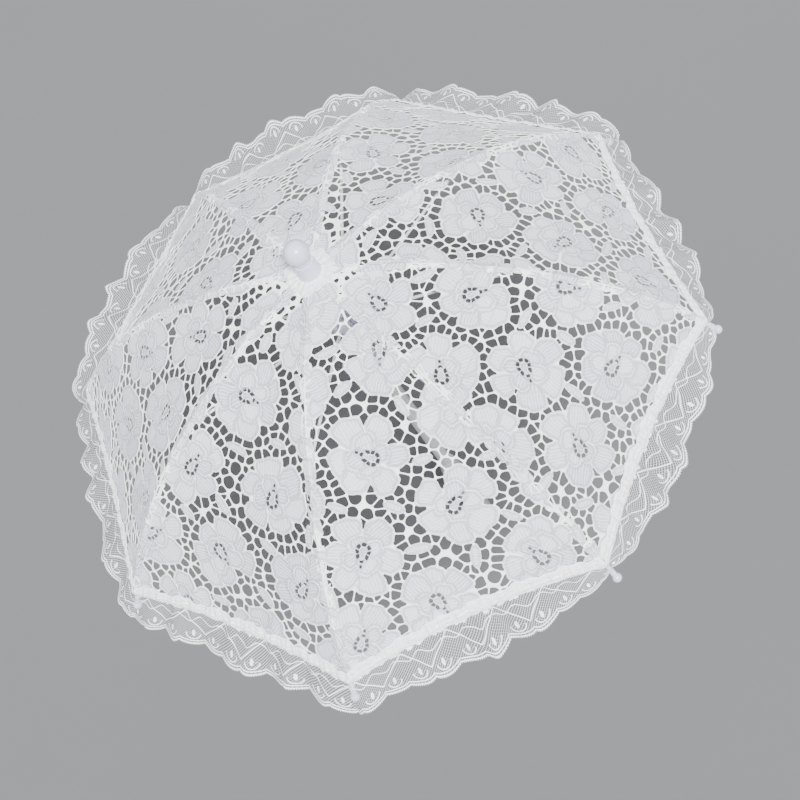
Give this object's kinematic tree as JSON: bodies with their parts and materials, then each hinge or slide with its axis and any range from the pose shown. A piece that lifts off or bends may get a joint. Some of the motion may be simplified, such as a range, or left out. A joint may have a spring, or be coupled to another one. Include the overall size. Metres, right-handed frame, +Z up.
{
  "type": "parasol",
  "caption": "Small open lace parasol with a sliding runner, hinged ribs and stretchers, a round ferrule and a straight handle.",
  "frame": {"origin": "middle of the straight grip, on the shaft's axis", "axes": "+Z up the shaft towards the ferrule, +X towards rib 1"},
  "size_m": [0.456, 0.456, 0.4165],
  "materials": {
    "white_plastic": "gloss",
    "white_enamel": "satin",
    "bright_steel": "satin",
    "lace": "matte"
  },
  "bodies": {
    "root": {"handle": "white_plastic", "shaft": "white_enamel", "crown": "white_plastic", "crown_wire": "bright_steel", "rosette": "lace", "ferrule": "white_plastic", "cross_pins": "bright_steel"},
    "runner": {"runner": "white_plastic", "runner_wire": "bright_steel"},
    "upper_catch": {"upper_catch": "bright_steel"},
    "lower_catch": {"lower_catch": "bright_steel"},
    "rib_inner_1": {"rib_inner_1": "white_enamel"},
    "rib_outer_1": {"rib_outer_1": "white_enamel", "rib_tip_1": "white_plastic"},
    "stretcher_1": {"stretcher_1": "white_enamel"},
    "panel_upper_1": {"panel_upper_1": "lace"},
    "panel_lower_1": {"panel_lower_1": "lace"},
    "rib_inner_2": {"rib_inner_2": "white_enamel"},
    "rib_outer_2": {"rib_outer_2": "white_enamel", "rib_tip_2": "white_plastic"},
    "stretcher_2": {"stretcher_2": "white_enamel"},
    "panel_upper_2": {"panel_upper_2": "lace"},
    "panel_lower_2": {"panel_lower_2": "lace"},
    "rib_inner_3": {"rib_inner_3": "white_enamel"},
    "rib_outer_3": {"rib_outer_3": "white_enamel", "rib_tip_3": "white_plastic"},
    "stretcher_3": {"stretcher_3": "white_enamel"},
    "panel_upper_3": {"panel_upper_3": "lace"},
    "panel_lower_3": {"panel_lower_3": "lace"},
    "rib_inner_4": {"rib_inner_4": "white_enamel"},
    "rib_outer_4": {"rib_outer_4": "white_enamel", "rib_tip_4": "white_plastic"},
    "stretcher_4": {"stretcher_4": "white_enamel"},
    "panel_upper_4": {"panel_upper_4": "lace"},
    "panel_lower_4": {"panel_lower_4": "lace"},
    "rib_inner_5": {"rib_inner_5": "white_enamel"},
    "rib_outer_5": {"rib_outer_5": "white_enamel", "rib_tip_5": "white_plastic"},
    "stretcher_5": {"stretcher_5": "white_enamel"},
    "panel_upper_5": {"panel_upper_5": "lace"},
    "panel_lower_5": {"panel_lower_5": "lace"},
    "rib_inner_6": {"rib_inner_6": "white_enamel"},
    "rib_outer_6": {"rib_outer_6": "white_enamel", "rib_tip_6": "white_plastic"},
    "stretcher_6": {"stretcher_6": "white_enamel"},
    "panel_upper_6": {"panel_upper_6": "lace"},
    "panel_lower_6": {"panel_lower_6": "lace"},
    "rib_inner_7": {"rib_inner_7": "white_enamel"},
    "rib_outer_7": {"rib_outer_7": "white_enamel", "rib_tip_7": "white_plastic"},
    "stretcher_7": {"stretcher_7": "white_enamel"},
    "panel_upper_7": {"panel_upper_7": "lace"},
    "panel_lower_7": {"panel_lower_7": "lace"},
    "rib_inner_8": {"rib_inner_8": "white_enamel"},
    "rib_outer_8": {"rib_outer_8": "white_enamel", "rib_tip_8": "white_plastic"},
    "stretcher_8": {"stretcher_8": "white_enamel"},
    "panel_upper_8": {"panel_upper_8": "lace"},
    "panel_lower_8": {"panel_lower_8": "lace"}
  },
  "joints": [
    {"name": "runner_slide", "type": "slide", "parent": "root", "child": "runner", "axis": [0, 0, -1], "range_m": [0, 0.15424]},
    {"name": "upper_catch_press", "type": "hinge", "parent": "root", "child": "upper_catch", "pos_m": [0.0024, 0.001, 0.2371], "axis": [0.3827, -0.9239, 0], "range_deg": [0, 5.5], "stiffness_Nm_per_rad": 0.05},
    {"name": "lower_catch_press", "type": "hinge", "parent": "root", "child": "lower_catch", "pos_m": [0.0024, 0.001, 0.15806], "axis": [-0.3827, 0.9239, 0], "range_deg": [0, 5.5], "stiffness_Nm_per_rad": 0.05},
    {"name": "rib_hinge_1", "type": "hinge", "parent": "root", "child": "rib_inner_1", "pos_m": [0.009, 0, 0.338], "axis": [0, 1, 0], "range_deg": [0, 72.51]},
    {"name": "rib_flex_1", "type": "hinge", "parent": "rib_inner_1", "child": "rib_outer_1", "pos_m": [0.118, 0, 0.31299], "axis": [0, 1, 0], "range_deg": [-23.27, 0]},
    {"name": "stretcher_rivet_1", "type": "hinge", "parent": "rib_inner_1", "child": "stretcher_1", "pos_m": [0.1083, 0, 0.31285], "axis": [0, 1, 0], "range_deg": [-145.01, 0]},
    {"name": "cloth_top_1", "type": "hinge", "parent": "root", "child": "panel_upper_1", "pos_m": [0.00964, 0.00399, 0.33757], "axis": [-0.3827, 0.9239, 0], "range_deg": [0, 72.17], "deforming": ["panel_upper_1"]},
    {"name": "cloth_fold_1", "type": "hinge", "parent": "panel_upper_1", "child": "panel_lower_1", "pos_m": [0.10154, 0.04206, 0.31497], "axis": [-0.3827, 0.9239, 0], "range_deg": [-25.24, 0], "deforming": ["panel_lower_1"]},
    {"name": "rib_hinge_2", "type": "hinge", "parent": "root", "child": "rib_inner_2", "pos_m": [0.00636, 0.00636, 0.338], "axis": [-0.7071, 0.7071, 0], "range_deg": [0, 72.51]},
    {"name": "rib_flex_2", "type": "hinge", "parent": "rib_inner_2", "child": "rib_outer_2", "pos_m": [0.08344, 0.08344, 0.31299], "axis": [-0.7071, 0.7071, 0], "range_deg": [-23.27, 0]},
    {"name": "stretcher_rivet_2", "type": "hinge", "parent": "rib_inner_2", "child": "stretcher_2", "pos_m": [0.07658, 0.07658, 0.31285], "axis": [-0.7071, 0.7071, 0], "range_deg": [-145.01, 0]},
    {"name": "cloth_top_2", "type": "hinge", "parent": "root", "child": "panel_upper_2", "pos_m": [0.00399, 0.00964, 0.33757], "axis": [-0.9239, 0.3827, 0], "range_deg": [0, 72.17], "deforming": ["panel_upper_2"]},
    {"name": "cloth_fold_2", "type": "hinge", "parent": "panel_upper_2", "child": "panel_lower_2", "pos_m": [0.04206, 0.10154, 0.31497], "axis": [-0.9239, 0.3827, 0], "range_deg": [-25.24, 0], "deforming": ["panel_lower_2"]},
    {"name": "rib_hinge_3", "type": "hinge", "parent": "root", "child": "rib_inner_3", "pos_m": [0, 0.009, 0.338], "axis": [-1, 0, 0], "range_deg": [0, 72.51]},
    {"name": "rib_flex_3", "type": "hinge", "parent": "rib_inner_3", "child": "rib_outer_3", "pos_m": [0, 0.118, 0.31299], "axis": [-1, 0, 0], "range_deg": [-23.27, 0]},
    {"name": "stretcher_rivet_3", "type": "hinge", "parent": "rib_inner_3", "child": "stretcher_3", "pos_m": [0, 0.1083, 0.31285], "axis": [-1, 0, 0], "range_deg": [-145.01, 0]},
    {"name": "cloth_top_3", "type": "hinge", "parent": "root", "child": "panel_upper_3", "pos_m": [-0.00399, 0.00964, 0.33757], "axis": [-0.9239, -0.3827, 0], "range_deg": [0, 72.17], "deforming": ["panel_upper_3"]},
    {"name": "cloth_fold_3", "type": "hinge", "parent": "panel_upper_3", "child": "panel_lower_3", "pos_m": [-0.04206, 0.10154, 0.31497], "axis": [-0.9239, -0.3827, 0], "range_deg": [-25.24, 0], "deforming": ["panel_lower_3"]},
    {"name": "rib_hinge_4", "type": "hinge", "parent": "root", "child": "rib_inner_4", "pos_m": [-0.00636, 0.00636, 0.338], "axis": [-0.7071, -0.7071, 0], "range_deg": [0, 72.51]},
    {"name": "rib_flex_4", "type": "hinge", "parent": "rib_inner_4", "child": "rib_outer_4", "pos_m": [-0.08344, 0.08344, 0.31299], "axis": [-0.7071, -0.7071, 0], "range_deg": [-23.27, 0]},
    {"name": "stretcher_rivet_4", "type": "hinge", "parent": "rib_inner_4", "child": "stretcher_4", "pos_m": [-0.07658, 0.07658, 0.31285], "axis": [-0.7071, -0.7071, 0], "range_deg": [-145.01, 0]},
    {"name": "cloth_top_4", "type": "hinge", "parent": "root", "child": "panel_upper_4", "pos_m": [-0.00964, 0.00399, 0.33757], "axis": [-0.3827, -0.9239, 0], "range_deg": [0, 72.17], "deforming": ["panel_upper_4"]},
    {"name": "cloth_fold_4", "type": "hinge", "parent": "panel_upper_4", "child": "panel_lower_4", "pos_m": [-0.10154, 0.04206, 0.31497], "axis": [-0.3827, -0.9239, 0], "range_deg": [-25.24, 0], "deforming": ["panel_lower_4"]},
    {"name": "rib_hinge_5", "type": "hinge", "parent": "root", "child": "rib_inner_5", "pos_m": [-0.009, 0, 0.338], "axis": [0, -1, 0], "range_deg": [0, 72.51]},
    {"name": "rib_flex_5", "type": "hinge", "parent": "rib_inner_5", "child": "rib_outer_5", "pos_m": [-0.118, 0, 0.31299], "axis": [0, -1, 0], "range_deg": [-23.27, 0]},
    {"name": "stretcher_rivet_5", "type": "hinge", "parent": "rib_inner_5", "child": "stretcher_5", "pos_m": [-0.1083, 0, 0.31285], "axis": [0, -1, 0], "range_deg": [-145.01, 0]},
    {"name": "cloth_top_5", "type": "hinge", "parent": "root", "child": "panel_upper_5", "pos_m": [-0.00964, -0.00399, 0.33757], "axis": [0.3827, -0.9239, 0], "range_deg": [0, 72.17], "deforming": ["panel_upper_5"]},
    {"name": "cloth_fold_5", "type": "hinge", "parent": "panel_upper_5", "child": "panel_lower_5", "pos_m": [-0.10154, -0.04206, 0.31497], "axis": [0.3827, -0.9239, 0], "range_deg": [-25.24, 0], "deforming": ["panel_lower_5"]},
    {"name": "rib_hinge_6", "type": "hinge", "parent": "root", "child": "rib_inner_6", "pos_m": [-0.00636, -0.00636, 0.338], "axis": [0.7071, -0.7071, 0], "range_deg": [0, 72.51]},
    {"name": "rib_flex_6", "type": "hinge", "parent": "rib_inner_6", "child": "rib_outer_6", "pos_m": [-0.08344, -0.08344, 0.31299], "axis": [0.7071, -0.7071, 0], "range_deg": [-23.27, 0]},
    {"name": "stretcher_rivet_6", "type": "hinge", "parent": "rib_inner_6", "child": "stretcher_6", "pos_m": [-0.07658, -0.07658, 0.31285], "axis": [0.7071, -0.7071, 0], "range_deg": [-145.01, 0]},
    {"name": "cloth_top_6", "type": "hinge", "parent": "root", "child": "panel_upper_6", "pos_m": [-0.00399, -0.00964, 0.33757], "axis": [0.9239, -0.3827, 0], "range_deg": [0, 72.17], "deforming": ["panel_upper_6"]},
    {"name": "cloth_fold_6", "type": "hinge", "parent": "panel_upper_6", "child": "panel_lower_6", "pos_m": [-0.04206, -0.10154, 0.31497], "axis": [0.9239, -0.3827, 0], "range_deg": [-25.24, 0], "deforming": ["panel_lower_6"]},
    {"name": "rib_hinge_7", "type": "hinge", "parent": "root", "child": "rib_inner_7", "pos_m": [0, -0.009, 0.338], "axis": [1, 0, 0], "range_deg": [0, 72.51]},
    {"name": "rib_flex_7", "type": "hinge", "parent": "rib_inner_7", "child": "rib_outer_7", "pos_m": [0, -0.118, 0.31299], "axis": [1, 0, 0], "range_deg": [-23.27, 0]},
    {"name": "stretcher_rivet_7", "type": "hinge", "parent": "rib_inner_7", "child": "stretcher_7", "pos_m": [0, -0.1083, 0.31285], "axis": [1, 0, 0], "range_deg": [-145.01, 0]},
    {"name": "cloth_top_7", "type": "hinge", "parent": "root", "child": "panel_upper_7", "pos_m": [0.00399, -0.00964, 0.33757], "axis": [0.9239, 0.3827, 0], "range_deg": [0, 72.17], "deforming": ["panel_upper_7"]},
    {"name": "cloth_fold_7", "type": "hinge", "parent": "panel_upper_7", "child": "panel_lower_7", "pos_m": [0.04206, -0.10154, 0.31497], "axis": [0.9239, 0.3827, 0], "range_deg": [-25.24, 0], "deforming": ["panel_lower_7"]},
    {"name": "rib_hinge_8", "type": "hinge", "parent": "root", "child": "rib_inner_8", "pos_m": [0.00636, -0.00636, 0.338], "axis": [0.7071, 0.7071, 0], "range_deg": [0, 72.51]},
    {"name": "rib_flex_8", "type": "hinge", "parent": "rib_inner_8", "child": "rib_outer_8", "pos_m": [0.08344, -0.08344, 0.31299], "axis": [0.7071, 0.7071, 0], "range_deg": [-23.27, 0]},
    {"name": "stretcher_rivet_8", "type": "hinge", "parent": "rib_inner_8", "child": "stretcher_8", "pos_m": [0.07658, -0.07658, 0.31285], "axis": [0.7071, 0.7071, 0], "range_deg": [-145.01, 0]},
    {"name": "cloth_top_8", "type": "hinge", "parent": "root", "child": "panel_upper_8", "pos_m": [0.00964, -0.00399, 0.33757], "axis": [0.3827, 0.9239, 0], "range_deg": [0, 72.17], "deforming": ["panel_upper_8"]},
    {"name": "cloth_fold_8", "type": "hinge", "parent": "panel_upper_8", "child": "panel_lower_8", "pos_m": [0.10154, -0.04206, 0.31497], "axis": [0.3827, 0.9239, 0], "range_deg": [-25.24, 0], "deforming": ["panel_lower_8"]}
  ],
  "couplings": [
    {"joint": "rib_hinge_1", "follows": "runner_slide", "rad_per_m": 8.2039},
    {"joint": "rib_flex_1", "follows": "runner_slide", "rad_per_m": -2.6321},
    {"joint": "stretcher_rivet_1", "follows": "runner_slide", "rad_per_m": -16.408},
    {"joint": "cloth_top_1", "follows": "runner_slide", "rad_per_m": 8.1654},
    {"joint": "cloth_fold_1", "follows": "runner_slide", "rad_per_m": -2.8546},
    {"joint": "rib_hinge_2", "follows": "runner_slide", "rad_per_m": 8.2039},
    {"joint": "rib_flex_2", "follows": "runner_slide", "rad_per_m": -2.6321},
    {"joint": "stretcher_rivet_2", "follows": "runner_slide", "rad_per_m": -16.408},
    {"joint": "cloth_top_2", "follows": "runner_slide", "rad_per_m": 8.1654},
    {"joint": "cloth_fold_2", "follows": "runner_slide", "rad_per_m": -2.8546},
    {"joint": "rib_hinge_3", "follows": "runner_slide", "rad_per_m": 8.2039},
    {"joint": "rib_flex_3", "follows": "runner_slide", "rad_per_m": -2.6321},
    {"joint": "stretcher_rivet_3", "follows": "runner_slide", "rad_per_m": -16.408},
    {"joint": "cloth_top_3", "follows": "runner_slide", "rad_per_m": 8.1654},
    {"joint": "cloth_fold_3", "follows": "runner_slide", "rad_per_m": -2.8546},
    {"joint": "rib_hinge_4", "follows": "runner_slide", "rad_per_m": 8.2039},
    {"joint": "rib_flex_4", "follows": "runner_slide", "rad_per_m": -2.6321},
    {"joint": "stretcher_rivet_4", "follows": "runner_slide", "rad_per_m": -16.408},
    {"joint": "cloth_top_4", "follows": "runner_slide", "rad_per_m": 8.1654},
    {"joint": "cloth_fold_4", "follows": "runner_slide", "rad_per_m": -2.8546},
    {"joint": "rib_hinge_5", "follows": "runner_slide", "rad_per_m": 8.2039},
    {"joint": "rib_flex_5", "follows": "runner_slide", "rad_per_m": -2.6321},
    {"joint": "stretcher_rivet_5", "follows": "runner_slide", "rad_per_m": -16.408},
    {"joint": "cloth_top_5", "follows": "runner_slide", "rad_per_m": 8.1654},
    {"joint": "cloth_fold_5", "follows": "runner_slide", "rad_per_m": -2.8546},
    {"joint": "rib_hinge_6", "follows": "runner_slide", "rad_per_m": 8.2039},
    {"joint": "rib_flex_6", "follows": "runner_slide", "rad_per_m": -2.6321},
    {"joint": "stretcher_rivet_6", "follows": "runner_slide", "rad_per_m": -16.408},
    {"joint": "cloth_top_6", "follows": "runner_slide", "rad_per_m": 8.1654},
    {"joint": "cloth_fold_6", "follows": "runner_slide", "rad_per_m": -2.8546},
    {"joint": "rib_hinge_7", "follows": "runner_slide", "rad_per_m": 8.2039},
    {"joint": "rib_flex_7", "follows": "runner_slide", "rad_per_m": -2.6321},
    {"joint": "stretcher_rivet_7", "follows": "runner_slide", "rad_per_m": -16.408},
    {"joint": "cloth_top_7", "follows": "runner_slide", "rad_per_m": 8.1654},
    {"joint": "cloth_fold_7", "follows": "runner_slide", "rad_per_m": -2.8546},
    {"joint": "rib_hinge_8", "follows": "runner_slide", "rad_per_m": 8.2039},
    {"joint": "rib_flex_8", "follows": "runner_slide", "rad_per_m": -2.6321},
    {"joint": "stretcher_rivet_8", "follows": "runner_slide", "rad_per_m": -16.408},
    {"joint": "cloth_top_8", "follows": "runner_slide", "rad_per_m": 8.1654},
    {"joint": "cloth_fold_8", "follows": "runner_slide", "rad_per_m": -2.8546}
  ]
}
